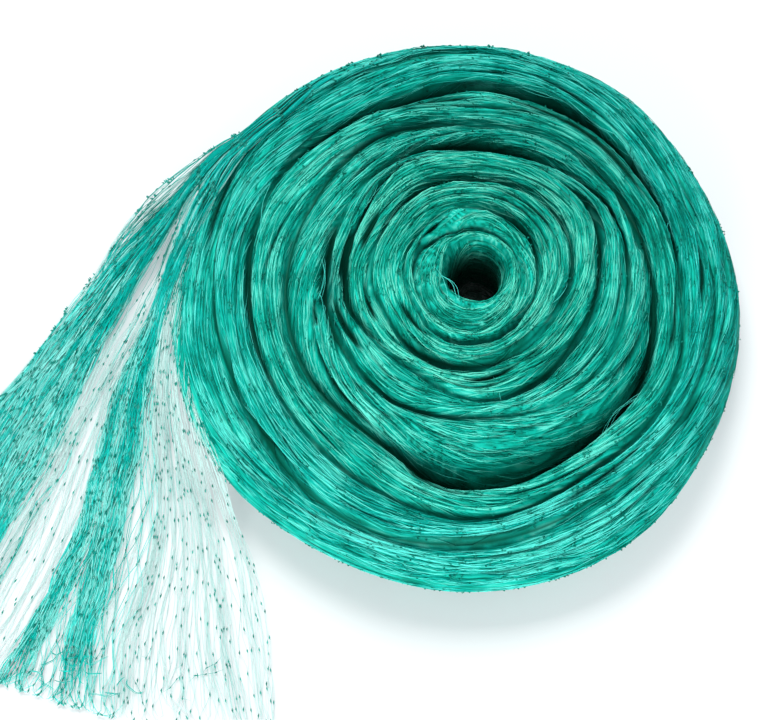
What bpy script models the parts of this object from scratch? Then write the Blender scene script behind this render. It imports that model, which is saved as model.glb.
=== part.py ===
"""A roll of knotted bird netting, wound by hand from one gathered length and laid on its flat side.

The netting is one cut piece. Gathered to a soft rope it is wound round an open eye into nine turns, which makes
the solid "wound_roll", and its last stretch lies spread on the floor beside the roll as the solid "loose_end".
Metres, +Z up. The origin is on the floor, under the middle of the object's bounding box.
"""

import math

import bmesh
import bpy
from mathutils import Vector

MM = 0.001
SHARP_ANGLE = math.radians(50)

# The netting: the length of one bar of the mesh, from knot to knot, and the width of a strand of the solid net.
BAR = 20 * MM
STRAND = 1.5 * MM

# The roll's grid: steps round the eye, and where the sections of a turn stand between its two creases, as shares
# of its width.
STEPS_ROUND = 96
TURN_SHARES = (0.0, 0.17, 0.38, 0.62, 0.83)
OUTER_SHARES = (0.0, 0.2, 0.42, 0.66, 0.86)

# The open eye, from the floor up: (radius, height).
EYE = ((12 * MM, 0.0), (12 * MM, 30 * MM), (12.5 * MM, 56 * MM))

# The outer wall's widest height, its straight foot's top, and how far wall and foot draw in below it.
WALL_HEIGHT = 28 * MM
FOOT_HEIGHT = 13 * MM
WALL_DRAW = 3 * MM
FOOT_DRAW = 9 * MM

# The share of a turn's width over which its crown falls to a crease, and the twist ridges that cross the crown.
CREASE_SHARE = 0.42
SLOPE_SHARE = 0.95
RIDGE = 2.2 * MM
RIDGES_ROUND = 7

# The nine turns, from the eye outwards, in millimetres. The columns are the directions 0, 30, ... 330 degrees
# anticlockwise from +X. "edge" is the outer crease's distance from the eye's axis, "crease" its height, and
# "crown" the height of the turn's own top, which lies inside that crease.
TURNS = (
    {"edge": (20, 18.8, 18.8, 20, 20.5, 25, 29, 31, 33, 33, 28, 23),
     "crease": (75, 76, 76, 75, 74, 73, 73, 73, 73, 73, 74, 75),
     "crown": (77, 77, 77, 77, 77, 77, 77, 77, 77, 77, 77, 77)},
    {"edge": (29, 29, 29.5, 30.5, 31.5, 32, 33.5, 35.5, 38, 38, 34.5, 31),
     "crease": (68, 66, 66, 70, 72, 72, 73, 73, 72, 71, 70, 70),
     "crown": (81, 82, 82, 82, 82, 81, 81, 80, 80, 80, 80, 81)},
    {"edge": (45, 47, 47, 46.5, 49, 48.5, 50.5, 48.5, 49.5, 48, 44.5, 42.5),
     "crease": (66, 66, 65, 63, 63, 66, 67, 66, 63, 62, 65, 66),
     "crown": (79, 79, 79, 79, 79, 79, 79, 78, 77, 77, 77, 78)},
    {"edge": (59, 64, 64.5, 65.5, 67, 62.5, 62, 58, 56, 63, 60, 57.5),
     "crease": (55, 56, 48, 44, 50, 52, 34, 50, 58, 60, 54, 54),
     "crown": (73, 74, 74, 74, 73, 73, 72, 71, 71, 71, 71, 72)},
    {"edge": (74, 76, 71, 70.5, 72.5, 72, 71.5, 71, 72, 69, 72, 74),
     "crease": (53, 50, 44, 44, 52, 50, 36, 50, 54, 57, 58, 56),
     "crown": (64, 64, 60, 54, 62, 62, 46, 62, 65, 66, 66, 65)},
    {"edge": (86, 85.5, 86, 82.5, 89, 89.5, 91, 92, 91, 99, 94, 92),
     "crease": (48, 50, 50, 50, 50, 50, 48, 46, 40, 22, 18, 30),
     "crown": (62, 62, 62, 62, 63, 63, 62, 61, 62, 63, 62, 62)},
    {"edge": (99.5, 101, 106, 107, 105, 111, 109, 108.5, 111, 115, 107, 107),
     "crease": (40, 36, 34, 34, 36, 42, 40, 42, 42, 42, 44, 46),
     "crown": (58, 58, 57, 57, 58, 58, 58, 57, 55, 53, 54, 57)},
    {"edge": (117, 113, 120, 128, 127.5, 130.5, 127, 125, 130, 127, 118, 117),
     "crease": (42, 42, 42, 42, 40, 36, 38, 38, 38, 38, 40, 42),
     "crown": (54, 54, 55, 55, 55, 54, 52, 52, 51, 50, 51, 53)},
    {"edge": (131, 131, 138.5, 141, 144.5, 149, 148, 147.5, 146, 144.5, 137.5, 130),
     "crease": (28, 28, 28, 28, 28, 28, 28, 28, 28, 28, 28, 28),
     "crown": (48, 49, 50, 50, 47, 40, 40, 43, 43, 42, 43, 46)},
)
RIM_RADIUS = 16 * MM
RIM_HEIGHT = 73 * MM
TWISTED_FROM = 3
SLOPING_TURN = 5

# The loose end runs off the roll's outer wall and fans out. The rows go along its strands: the distance "along"
# them, the points (x, y) of its two side edges from the eye's axis, how far the row between them bows out, and
# the height of its top, all in millimetres.
FAN = (
    {"along": 0, "left": (-94, 98), "right": (-86, 78), "bow": 0, "top": 29},
    {"along": 20, "left": (-117, 97), "right": (-105, 74), "bow": 1, "top": 28},
    {"along": 40, "left": (-134, 85), "right": (-116, 58), "bow": 2, "top": 24},
    {"along": 60, "left": (-147, 70), "right": (-124, 40), "bow": 3, "top": 19},
    {"along": 80, "left": (-160, 54), "right": (-128, 20), "bow": 5, "top": 14},
    {"along": 110, "left": (-179, 32), "right": (-132, -8), "bow": 8, "top": 9},
    {"along": 150, "left": (-204, 0), "right": (-134, -45), "bow": 10, "top": 5},
    {"along": 190, "left": (-227, -31), "right": (-122, -85), "bow": 12, "top": 3},
    {"along": 230, "left": (-250, -64), "right": (-110, -122), "bow": 14, "top": 2.2},
    {"along": 325, "left": (-304, -139), "right": (-95, -206), "bow": 18, "top": 2},
)
FAN_COLUMNS = 46
FAN_ROWS = 16

# The cut end's waver in millimetres, and the least width of a mesh that is opened.
END_UNEVEN = 4
OPEN_WIDTH = 5.8 * MM

# How the fan's strands crowd together across it: the share of its width at which a zone ends, counted from the
# left edge, and how many times as close as in an open zone the strands lie there. A bunch stands up by
# BUNCH_RISE millimetres for each such time.
ZONES = (
    {"upto": 0.07, "crowd": 2.4},
    {"upto": 0.23, "crowd": 1.1},
    {"upto": 0.40, "crowd": 0.9},
    {"upto": 0.53, "crowd": 4.0},
    {"upto": 0.66, "crowd": 1.0},
    {"upto": 0.70, "crowd": 2.6},
    {"upto": 0.83, "crowd": 0.9},
    {"upto": 0.87, "crowd": 1.8},
    {"upto": 1.00, "crowd": 0.9},
)
BUNCH_RISE = 1.1
UNEVEN_RISE = 0.4

# The loose end keeps this far from the roll's wall.
CLEARANCE = 0.3 * MM


def round_table(values, degrees):
    """A smooth value between columns that stand evenly round the circle."""
    count = len(values)
    place = degrees / 360 * count
    i = math.floor(place)
    t = place - i
    a, b, c, d = (values[(i + k) % count] for k in (-1, 0, 1, 2))
    return b + 0.5 * t * (c - a + t * (2 * a - 5 * b + 4 * c - d + t * (3 * (b - c) + d - a)))


def between(rows, key, column, at):
    """A straight-line value of a table's column, a number or a point, whose rows are in order of key."""
    low, high = next((pair for pair in zip(rows, rows[1:]) if at <= pair[1][key]), rows[-2:])
    t = (at - low[key]) / (high[key] - low[key])
    if isinstance(low[column], tuple):
        return tuple(a + t * (b - a) for a, b in zip(low[column], high[column]))
    return low[column] + t * (high[column] - low[column])


def crown_fall(share, width):
    """1 at a crease, falling to 0 where the crown begins, width of the turn away."""
    return max(0.0, 1 - share / width) ** 2


def turn_section(index, degrees):
    """(radius, height) at each section of a turn, from its inner crease to just before its outer one."""
    row = TURNS[index]
    inner = TURNS[index - 1] if index else None
    low_radius = round_table(inner["edge"], degrees) * MM if inner else RIM_RADIUS
    low_height = round_table(inner["crease"], degrees) * MM if inner else RIM_HEIGHT
    high_radius = round_table(row["edge"], degrees) * MM
    high_height = round_table(row["crease"], degrees) * MM
    crown = round_table(row["crown"], degrees) * MM
    last = index == len(TURNS) - 1
    outer_share = SLOPE_SHARE if last or index == SLOPING_TURN else CREASE_SHARE
    section = []
    for share in OUTER_SHARES if last else TURN_SHARES:
        height = crown - (crown - low_height) * crown_fall(share, CREASE_SHARE)
        height -= (crown - high_height) * crown_fall(1 - share, outer_share)
        if index >= TWISTED_FROM:
            ridge = math.cos(2 * math.pi * share - RIDGES_ROUND * math.radians(degrees) + index)
            height += RIDGE * ridge * math.sin(math.pi * share)
        section.append((low_radius + share * (high_radius - low_radius), height))
    return section


def roll_section(degrees, grown=0.0):
    """The roll's whole section at one direction, as a ring of (radius, height), grown outwards if asked."""
    ring = list(EYE)
    for index in range(len(TURNS)):
        ring += turn_section(index, degrees)
    widest = round_table(TURNS[-1]["edge"], degrees) * MM
    ring.append((widest, WALL_HEIGHT))
    ring.append((widest - WALL_DRAW, FOOT_HEIGHT))
    ring.append((widest - FOOT_DRAW, 0.0))
    if not grown:
        return ring
    eye_steps = len(EYE)
    outward = [(radius + grown, height + grown) for radius, height in ring[eye_steps:-1]]
    radius, height = ring[-1]
    return [(r, z - grown) for r, z in ring[:eye_steps]] + outward + [(radius + grown, height - grown)]


def wound_mesh(name, grown=0.0):
    """A grid bent round the eye, one column of it for each direction, and welded into one closed ring."""
    sections = [roll_section(360 * i / STEPS_ROUND, grown) for i in range(STEPS_ROUND)]
    around, along = STEPS_ROUND, len(sections[0])
    shape = bmesh.new()
    bmesh.ops.create_grid(shape, x_segments=around, y_segments=along, size=1)
    for vertex in shape.verts:
        i = round((vertex.co.x + 1) / 2 * around) % around
        j = round((vertex.co.y + 1) / 2 * along) % along
        radius, height = sections[i][j]
        angle = 2 * math.pi * i / around
        vertex.co = (radius * math.cos(angle), radius * math.sin(angle), height)
    bmesh.ops.remove_doubles(shape, verts=shape.verts, dist=0.01 * MM)
    bmesh.ops.recalc_face_normals(shape, faces=shape.faces)
    return finished(shape, name)


def finished(shape, name):
    """The shape as a mesh, rounded where its faces meet at a small angle."""
    mesh = bpy.data.meshes.new(name)
    shape.to_mesh(mesh)
    shape.free()
    mesh.shade_smooth()
    mesh.set_sharp_from_angle(angle=SHARP_ANGLE)
    return mesh


def crowded_share(share):
    """Where the strand at this share of the columns lies, as a share of the fan's width."""
    widths = [zone["upto"] - before for zone, before in zip(ZONES, (0.0, *(z["upto"] for z in ZONES)))]
    weights = [width * zone["crowd"] for width, zone in zip(widths, ZONES)]
    left = share * sum(weights)
    for zone, width, weight in zip(ZONES, widths, weights):
        if left <= weight:
            return zone["upto"] - width + width * left / weight
        left -= weight
    return 1.0


def crowding(share):
    return next((zone["crowd"] for zone in ZONES if share <= zone["upto"]), ZONES[-1]["crowd"])


def fan_point(column, row):
    """The top of the loose end at a knot of its net, or on a side edge between two rows."""
    share = crowded_share(column / FAN_COLUMNS)
    along = row * BAR / MM
    if row == FAN_ROWS:
        along += END_UNEVEN * math.sin(1.9 * column)
    left, right = (Vector(between(FAN, "along", side, along)) for side in ("left", "right"))
    across = right - left
    outward = Vector((across.y, -across.x)).normalized()
    flat = left + share * across + 4 * share * (1 - share) * between(FAN, "along", "bow", along) * outward
    top = between(FAN, "along", "top", along)
    top += BUNCH_RISE * (crowding(share) - 1) * min(1.0, row / 6)
    top += UNEVEN_RISE * math.sin(2.3 * column + 1.1 * row)
    return Vector((flat.x, flat.y, top)) * MM


def diamond_width(face):
    """The distance between the two side corners of a mesh of the net."""
    corners = [vertex.co for vertex in face.verts]
    return min((corners[0] - corners[2]).length, (corners[1] - corners[3]).length)


def net_mesh(name):
    """The net's diamonds laid out knot to knot, opened where they are wide, and carried down to the floor."""
    shape = bmesh.new()
    knots = {}

    def knot(column, row):
        place = (column, row)
        if place not in knots:
            knots[place] = shape.verts.new(fan_point(column, row))
        return knots[place]

    for row in range(FAN_ROWS + 1):
        for column in range(FAN_COLUMNS + 1):
            if (column + row) % 2 == 0:
                continue
            left, right = max(column - 1, 0), min(column + 1, FAN_COLUMNS)
            near, far = max(row - 1, 0), min(row + 1, FAN_ROWS)
            corners = [knot(left, row), knot(column, near), knot(right, row), knot(column, far)]
            shape.faces.new(corners)
    bmesh.ops.recalc_face_normals(shape, faces=shape.faces)
    wide = [face for face in shape.faces if len(face.verts) == 4 and diamond_width(face) > OPEN_WIDTH]
    bmesh.ops.inset_individual(shape, faces=wide, thickness=STRAND / 2, use_even_offset=True)
    bmesh.ops.delete(shape, geom=wide, context="FACES_ONLY")
    top = list(shape.faces)
    extruded = bmesh.ops.extrude_face_region(shape, geom=top, use_keep_orig=True)
    for element in extruded["geom"]:
        if isinstance(element, bmesh.types.BMVert):
            element.co.z = 0.0
    bmesh.ops.recalc_face_normals(shape, faces=shape.faces)
    return finished(shape, name)


def net_material(name, colour, roughness):
    material = bpy.data.materials.new(name)
    material.use_nodes = True
    shader = material.node_tree.nodes["Principled BSDF"]
    shader.inputs["Base Color"].default_value = (*colour, 1.0)
    shader.inputs["Roughness"].default_value = roughness
    return material


def placed(name, mesh, parent, material=None):
    thing = bpy.data.objects.new(name, mesh)
    bpy.context.scene.collection.objects.link(thing)
    thing.parent = parent
    if material:
        mesh.materials.append(material)
    return thing


def main():
    for thing in list(bpy.data.objects):
        bpy.data.objects.remove(thing)

    eye_axis = bpy.data.objects.new("eye_axis", None)
    bpy.context.scene.collection.objects.link(eye_axis)

    gathered = net_material("gathered_netting", (0.03, 0.42, 0.31), 0.5)
    spread = net_material("spread_netting", (0.06, 0.52, 0.42), 0.5)
    roll = placed("wound_roll", wound_mesh("wound_roll"), eye_axis, gathered)
    loose_end = placed("loose_end", net_mesh("loose_end"), eye_axis, spread)

    clearance = placed("roll_clearance", wound_mesh("roll_clearance", CLEARANCE), eye_axis)
    clearance.hide_render = True
    clearance.display_type = "WIRE"
    beside = loose_end.modifiers.new("beside_the_roll", "BOOLEAN")
    beside.operation = "DIFFERENCE"
    beside.solver = "EXACT"
    beside.object = clearance

    points = [vertex.co for thing in (roll, loose_end) for vertex in thing.data.vertices]
    middle = [(min(p[k] for p in points) + max(p[k] for p in points)) / 2 for k in (0, 1)]
    eye_axis.location = (-middle[0], -middle[1], 0.0)


main()
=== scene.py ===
"""A roll of knotted bird netting on a pale floor: its wound turns, yarns and knots, and its spread end."""

import math

import bmesh
import bpy
import numpy as np
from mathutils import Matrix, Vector


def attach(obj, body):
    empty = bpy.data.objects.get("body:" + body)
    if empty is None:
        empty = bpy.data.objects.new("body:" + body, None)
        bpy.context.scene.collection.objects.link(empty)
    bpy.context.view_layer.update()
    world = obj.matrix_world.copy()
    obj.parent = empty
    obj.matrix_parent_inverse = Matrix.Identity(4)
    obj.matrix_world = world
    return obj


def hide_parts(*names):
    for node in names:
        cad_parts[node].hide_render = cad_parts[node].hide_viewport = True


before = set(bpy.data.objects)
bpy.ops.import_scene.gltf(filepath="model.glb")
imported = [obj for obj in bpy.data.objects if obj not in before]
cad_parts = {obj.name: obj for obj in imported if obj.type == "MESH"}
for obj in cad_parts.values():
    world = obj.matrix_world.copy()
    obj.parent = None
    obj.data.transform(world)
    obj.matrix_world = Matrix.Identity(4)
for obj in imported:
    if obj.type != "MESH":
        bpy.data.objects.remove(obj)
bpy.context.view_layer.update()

# ---- The room ----
# The roll lies on a smooth white floor under a wide soft lamp behind it, with pale light from all round.
# The floor glows a little of its own, painted light that lifts its shadows, and glows less near the spread
# net, painted shade of the net on it. The camera looks steeply down.
MM = 0.001
VIEW_CENTRE = (0.0418, 0.0130, 0.0)
VIEW_DISTANCE = 1.1
VIEW_TILT = math.radians(20)
# The lens: the picture's distance and its width, in its own pixels, and the sensor's width in millimetres.
FOCAL_PIXELS, PICTURE_PIXELS, SENSOR = 2200, 768, 36
FLOOR_WHITE = (0.49, 0.505, 0.515, 1)
# The floor's painted glow near the net and away from it, the place it changes round, and how near and far;
# the weaker glow near the net is painted shade.
GLOW_COLOUR = (0.88, 0.93, 0.97, 1)
FLOOR_GLOW, SHADE_CENTRE, SHADE_REACH = (0.24, 0.34), (-0.05, -0.17, 0), (0.04, 0.30)
ROOM_COLOUR, ROOM_LIGHT = (0.88, 0.95, 0.98, 1), 0.60
LAMP_COLOUR, LAMP_AIM = (1.0, 0.985, 0.96), (0.05, 0, 0)


def link(thing):
    bpy.context.scene.collection.objects.link(thing)
    return thing


def plain_material(name):
    """A material with its shader."""
    material = bpy.data.materials.new(name)
    material.use_nodes = True
    return material, material.node_tree.nodes["Principled BSDF"]


class Nodes:
    """A short way to add and join shader nodes in one tree."""

    def __init__(self, tree):
        self.tree = tree

    def add(self, kind, **settings):
        node = self.tree.nodes.new(kind)
        for name, value in settings.items():
            setattr(node, name, value)
        return node

    def put(self, socket, value):
        if isinstance(value, bpy.types.NodeSocket):
            self.tree.links.new(value, socket)
        else:
            socket.default_value = value

    def maths(self, operation, first, second):
        node = self.add("ShaderNodeMath", operation=operation)
        self.put(node.inputs[0], first)
        self.put(node.inputs[1], second)
        return node.outputs[0]

    def mix(self, share, first, second):
        node = self.add("ShaderNodeMix", data_type="RGBA")
        self.put(node.inputs[0], share)
        self.put(node.inputs[6], first)
        self.put(node.inputs[7], second)
        return node.outputs[2]

    def ramp(self, value, low, high, first=0, last=1):
        """The first value below low, the last above high, smooth between."""
        node = self.add("ShaderNodeMapRange", interpolation_type="SMOOTHSTEP")
        self.put(node.inputs["Value"], value)
        for socket, limit in zip(("From Min", "From Max", "To Min", "To Max"), (low, high, first, last)):
            node.inputs[socket].default_value = limit
        return node.outputs["Result"]

    def noise(self, where, scale, detail):
        node = self.add("ShaderNodeTexNoise")
        self.put(node.inputs["Vector"], where)
        node.inputs["Scale"].default_value = scale
        node.inputs["Detail"].default_value = detail
        return node.outputs["Fac"]


floor_shape = bmesh.new()
bmesh.ops.create_grid(floor_shape, x_segments=2, y_segments=2, size=2.5)
bmesh.ops.translate(floor_shape, verts=floor_shape.verts, vec=(0, 0, -0.2 * MM))
floor_mesh = bpy.data.meshes.new("floor")
floor_shape.to_mesh(floor_mesh)
floor_shape.free()
floor = link(bpy.data.objects.new("floor", floor_mesh))
floor_material, floor_shader = plain_material("floor_white")
floor_shader.inputs["Base Color"].default_value = FLOOR_WHITE
floor_shader.inputs["Roughness"].default_value = 0.7
floor_shader.inputs["Specular IOR Level"].default_value = 0.2
floor_shader.inputs["Emission Color"].default_value = GLOW_COLOUR
floor_nodes = Nodes(floor_material.node_tree)
from_net = floor_nodes.add("ShaderNodeVectorMath", operation="DISTANCE")
from_net.inputs[1].default_value = SHADE_CENTRE
floor_nodes.put(from_net.inputs[0], floor_nodes.add("ShaderNodeTexCoord").outputs["Object"])
# Painted light and shade: the floor's glow, weaker near the spread net.
floor_nodes.put(floor_shader.inputs["Emission Strength"],
                floor_nodes.ramp(from_net.outputs["Value"], *SHADE_REACH, *FLOOR_GLOW))
floor_mesh.materials.append(floor_material)

world = bpy.data.worlds.new("pale_room")
world.use_nodes = True
world.node_tree.nodes["Background"].inputs["Color"].default_value = ROOM_COLOUR
world.node_tree.nodes["Background"].inputs["Strength"].default_value = ROOM_LIGHT
bpy.context.scene.world = world


def soft_lamp(name, place, size, power):
    lamp = bpy.data.lights.new(name, "AREA")
    lamp.shape = "SQUARE"
    lamp.size = size
    lamp.energy = power
    lamp.color = LAMP_COLOUR
    holder = link(bpy.data.objects.new(name, lamp))
    holder.location = place
    holder.rotation_euler = (Vector(LAMP_AIM) - Vector(place)).to_track_quat("-Z", "Y").to_euler()


soft_lamp("rear_lamp", (-0.2, 1.15, 1.85), 1.0, 50)
soft_lamp("front_fill", (-0.4, -1.7, 0.7), 1.1, 44)

camera = link(bpy.data.objects.new("camera", bpy.data.cameras.new("camera")))
camera.data.sensor_width = SENSOR
camera.data.lens = SENSOR * FOCAL_PIXELS / PICTURE_PIXELS
view_from = Vector((0, -math.sin(VIEW_TILT), math.cos(VIEW_TILT)))
camera.location = Vector(VIEW_CENTRE) + VIEW_DISTANCE * view_from
camera.rotation_euler = (VIEW_TILT, 0, 0)
bpy.context.scene.camera = camera
bpy.context.scene.view_settings.view_transform = "Standard"

# ---- The wound core ----
# One length of netting, gathered to a soft rope of green nylon yarn, is wound by hand round an open eye
# into nine turns. The core is a mesh of the body of those turns, built here, with their creases, folds and
# small locks.
TAU = 2 * math.pi
EYE_AXIS = (0.0851, 0.0318)

# The nine turns, from the eye outwards, in millimetres. The columns are the directions 0, 30, ... 330
# degrees anticlockwise from +X. "edge" is the outer crease's distance from the eye's axis, "crease" its
# height where it stands fully open, "open" how far it opens (0 to 1), "crown" the height of the turn's own
# top, and "drift" the share of the turn's width that its yarns move outwards over the next 30 degrees.
TURN_ROWS = ("edge", "crease", "open", "crown", "drift")
TURNS = [dict(zip(TURN_ROWS, rows)) for rows in (
    ((20, 18.8, 18.8, 20, 20.5, 25, 29, 30.5, 32.5, 33, 28, 23),
     (75, 76, 76, 75, 74, 73, 73, 73, 73, 73, 74, 75),
     (.6, .2, .2, .2, .4, .9, .7, .4, .8, 1, 1, 1),
     (77,) * 12,
     (0, 0, 0, 0, -.2, -.2, .1, .2, 0, -.05, -.05, 0)),
    ((29, 29, 29.5, 30.5, 31.5, 32, 33.5, 34.5, 38, 37, 34.2, 31),
     (68, 66, 66, 70, 72, 72, 73, 73, 72, 71, 70, 70),
     (.6, .9, .6, .4, .5, .8, .7, .8, 1, 1, .9, .6),
     (81, 82, 82, 82, 82, 81, 81, 80, 80, 80, 80, 81),
     (-.4, -.1, 0, -.2, -.5, -.4, 0, .1, .1, 0, -.1, -.1)),
    ((46, 47.5, 47, 46.5, 49, 48.5, 50.5, 48.5, 49.5, 48, 44.5, 42.5),
     (66, 66, 65, 63, 63, 66, 67, 66, 63, 62, 65, 66),
     (1, 1, .8, .9, 1, .7, .6, .5, .9, .5, .4, .5),
     (79, 79, 79, 79, 79, 79, 79, 78, 77, 77, 77, 78),
     (.02, .04, 0, 0, .04, .05, .1, .25, .25, 0, 0, -.03)),
    ((59, 65, 64.5, 65.5, 68.5, 62.5, 62, 58, 56, 63, 60, 57.5),
     (55, 51, 48, 44, 50, 52, 34, 50, 58, 60, 54, 54),
     (.9, 1, .5, .4, 1, 1, .9, .1, .25, .3, .5, .4),
     (73, 74, 74, 74, 73, 73, 72, 71, 71, 71, 71, 72),
     (.2, .1, 0, 0, .1, .2, .45, .2, -.35, -.15, .15, .1)),
    ((74, 76, 71, 72.5, 73.5, 72, 71.5, 71, 72, 69, 72, 74),
     (53, 50, 44, 44, 52, 50, 36, 50, 54, 57, 58, 56),
     (.7, 1, 1, .6, .6, .25, .6, .6, .8, .7, .3, .6),
     (64, 64, 60, 54, 62, 62, 46, 62, 65, 66, 66, 65),
     (.1, 0, -.05, -.1, -.1, .2, .3, .35, -.1, -.5, 0, .05)),
    ((86, 85.5, 86, 85, 91.5, 89.5, 91, 92, 91, 99, 94, 92),
     (48, 50, 50, 50, 50, 50, 48, 46, 40, 22, 18, 30),
     (1, .9, .4, .6, 1, .6, .6, .5, .5, 1, 1, .8),
     (62, 62, 62, 62, 63, 63, 62, 61, 62, 63, 62, 62),
     (.3, .2, 0, -.6, -.1, .4, .5, .45, .25, .1, .3, .2)),
    ((99.5, 101, 106, 107, 105, 111, 109, 108.5, 111, 115, 107, 107),
     (40, 36, 34, 34, 36, 42, 40, 42, 42, 42, 44, 46),
     (.3, .9, 1, 1, .9, .5, .8, .4, .4, .5, .9, .45),
     (58, 58, 57, 57, 58, 58, 58, 57, 55, 53, 54, 57),
     (.1, 0, 0, 0, .2, .35, .1, .15, .2, .35, .4, .3)),
    ((117, 113, 120, 128, 127.5, 130.5, 127, 125, 130, 127, 118, 117),
     (42, 42, 42, 42, 40, 36, 38, 38, 38, 38, 40, 42),
     (.3, .3, .3, .35, .35, .35, .4, .7, .3, .3, .3, .3),
     (54, 54, 55, 55, 55, 54, 52, 52, 51, 50, 51, 53),
     (.3, .3, .1, -.1, -.1, .5, .3, .1, 0, 0, .4, .4)),
    ((131.5, 132, 139, 139.5, 146, 148.5, 147.5, 148.5, 143.5, 143, 140.5, 133),
     (28,) * 12,
     (1,) * 12,
     (48, 49, 50, 50, 47, 40, 40, 43, 43, 42, 43, 46),
     (.5, .3, .05, 0, 0, .15, .25, -.1, 0, .1, .1, .45)),
)]
EYE_TOP = 73
RIM = {"edge": (16,) * 12, "crease": (EYE_TOP,) * 12}

# The larger folds of each turn: the directions between which one opens, its shares of the turn's width
# there, and its depth and width in millimetres.
FOLDS = (
    ((195, 242, .10, .42, 2.5, 1.0), (135, 168, .88, .55, 1.5, .9), (250, 320, .55, .45, 1.0, .8)),
    ((112, 172, .85, .12, 4.5, 1.4), (6, 34, .70, .30, 1.5, .8), (285, 330, .78, .80, 3.5, 1.2),
     (28, 80, .72, .74, 3.0, 1.3)),
    ((0, 88, .33, .40, 3.0, .9), (12, 80, .60, .62, 3.2, 1.0), (195, 240, .68, .78, 2.6, .8),
     (204, 238, .42, .20, 4.5, 1.5), (262, 322, .72, .80, 4.2, 1.3), (300, 357, .45, .40, 1.8, .8),
     (95, 150, .35, .45, 1.6, .8), (120, 190, .70, .76, 1.8, .8)),
    ((183, 209, .06, .50, 4.5, 1.5), (262, 294, .46, .28, 4.5, 1.2), (143, 170, .44, .42, 5.0, 1.6),
     (290, 322, .58, .84, 2.4, .9), (30, 56, .62, .72, 2.2, 1.2), (322, 357, .30, .18, 2.4, .9),
     (300, 352, .50, .66, 1.8, .8), (60, 128, .35, .30, 1.6, 1.0)),
    ((152, 176, .10, .22, 5.0, 1.8), (180, 216, .62, .48, 5.0, 1.8), (12, 42, .22, .10, 3.0, 1.2),
     (212, 245, .35, .70, 2.0, .8), (275, 300, .90, .45, 2.4, .9), (298, 345, .60, .72, 2.6, .9),
     (335, 372, .62, .84, 3.0, 1.2)),
    ((120, 142, .34, .38, 4.0, 1.2), (196, 240, .50, .84, 4.2, 1.1), (186, 197, .22, .40, 5.5, 2.0),
     (210, 262, .18, .72, 2.2, .8), (276, 298, .26, .32, 2.8, .8), (236, 270, .22, .45, 2.0, .8),
     (10, 34, .55, .88, 4.0, 1.6), (34, 52, .50, .86, 3.4, 1.5), (150, 190, .30, .78, 2.4, .9),
     (318, 350, .30, .74, 3.2, 1.2), (78, 114, .98, .04, 4.4, 1.3), (96, 124, .80, .72, 3.0, .9)),
    ((60, 112, .46, .40, 2.8, .8), (128, 150, .12, .30, 2.6, .9), (148, 186, .18, .66, 3.0, 1.0),
     (218, 236, .72, .80, 2.8, .9), (186, 222, .10, .12, 2.6, .9), (192, 240, .55, .62, 1.8, .9),
     (336, 362, .50, .85, 3.6, 1.4), (0, 34, .28, .20, 2.6, 1.0), (24, 84, .62, .70, 5.0, 2.6),
     (88, 116, .62, .74, 4.6, 2.2), (249, 268, .12, .26, 4.6, 1.6), (268, 286, .62, .80, 1.8, .8)),
    ((354, 375, .48, .82, 4.0, 1.3), (40, 80, .22, .62, 3.6, 1.1), (108, 124, .40, .52, 2.8, .8),
     (126, 148, .24, .04, 2.6, .9), (208, 231, 1.0, .78, 4.6, 1.0), (186, 206, .70, .98, 3.6, .9),
     (236, 256, .68, .66, 2.6, .9), (254, 290, .86, .80, 3.4, 1.8), (284, 322, .55, .28, 3.2, 1.6),
     (152, 176, .12, .66, 2.2, .9), (322, 356, .48, .88, 2.6, 1.1), (182, 214, .35, .55, 1.6, .9)),
    ((126, 152, .34, .30, 2.6, 1.2), (146, 171, .30, .20, 3.8, 2.0), (16, 34, .05, .34, 3.4, 1.0),
     (302, 313, .26, .30, 3.0, .7), (324, 338, .02, .16, 3.6, 1.2), (334, 360, .08, .42, 3.0, 1.1),
     (206, 234, .55, .30, 2.2, .8), (226, 262, .48, .52, 1.6, .9), (0, 26, .30, .84, 2.8, 1.1),
     (186, 222, .18, .52, 2.0, .9), (288, 326, .52, .58, 2.2, 1.0), (60, 130, .42, .40, 2.4, 1.4),
     (262, 300, .72, .66, 1.8, 1.2), (196, 236, .74, .60, 2.0, 1.0)),
)
SMALL_FOLDS_A_TURN = (8, 16, 30, 28, 22, 24, 24, 26, 30)

# Bands beyond the turns: the eye's wall lies before turn 0, the outer wall and the underside after turn 8.
EYE_WALL, OUTER_WALL, UNDERSIDE = -1, 9, 10
EYE_RADIUS, EYE_FLARE = 12 * MM, 4 * MM
WALL_HEIGHT, FOOT_DRAW = 28 * MM, 9 * MM
WALL_SPAN, FOOT_SPAN = 30 * MM, 120 * MM
# A crown falls to a crease over this share of the turn's width, and this sharply. Two turns slope outwards.
CROWN_FALL, SLOPE_FALL, SLOPING = (0.42, 3.5), (0.95, 2.0), (5, 8)

# The core's grid: columns round the eye, and rows across each band from the eye's wall to the underside.
CORE_COLUMNS = 288
CORE_ROWS = (20, 9, 12, 26, 26, 26, 28, 28, 30, 36, 32, 24)
CORE_SUNK = 0.35 * MM

# Locks, each a soft strand of yarns a few millimetres wide, lie side by side across a turn, and bunches of
# yarn side by side on every lock. The lines between the locks open and close as they run.
LOCK_WIDTH = 5.2 * MM
LOCK_DEPTH = 2.6 * MM
BUNCH_WIDTH = 1.35 * MM
BUNCH_HEIGHT = 0.4 * MM
# A crease that falls this far below a crown takes quite dark painted shade, and so does a fold this deep.
SHADE_DROP, SHADE_FOLD = 11 * MM, 4.2 * MM
# The knots stand in rows across the gathered netting, one mesh bar apart.
BAR = 20 * MM

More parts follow.
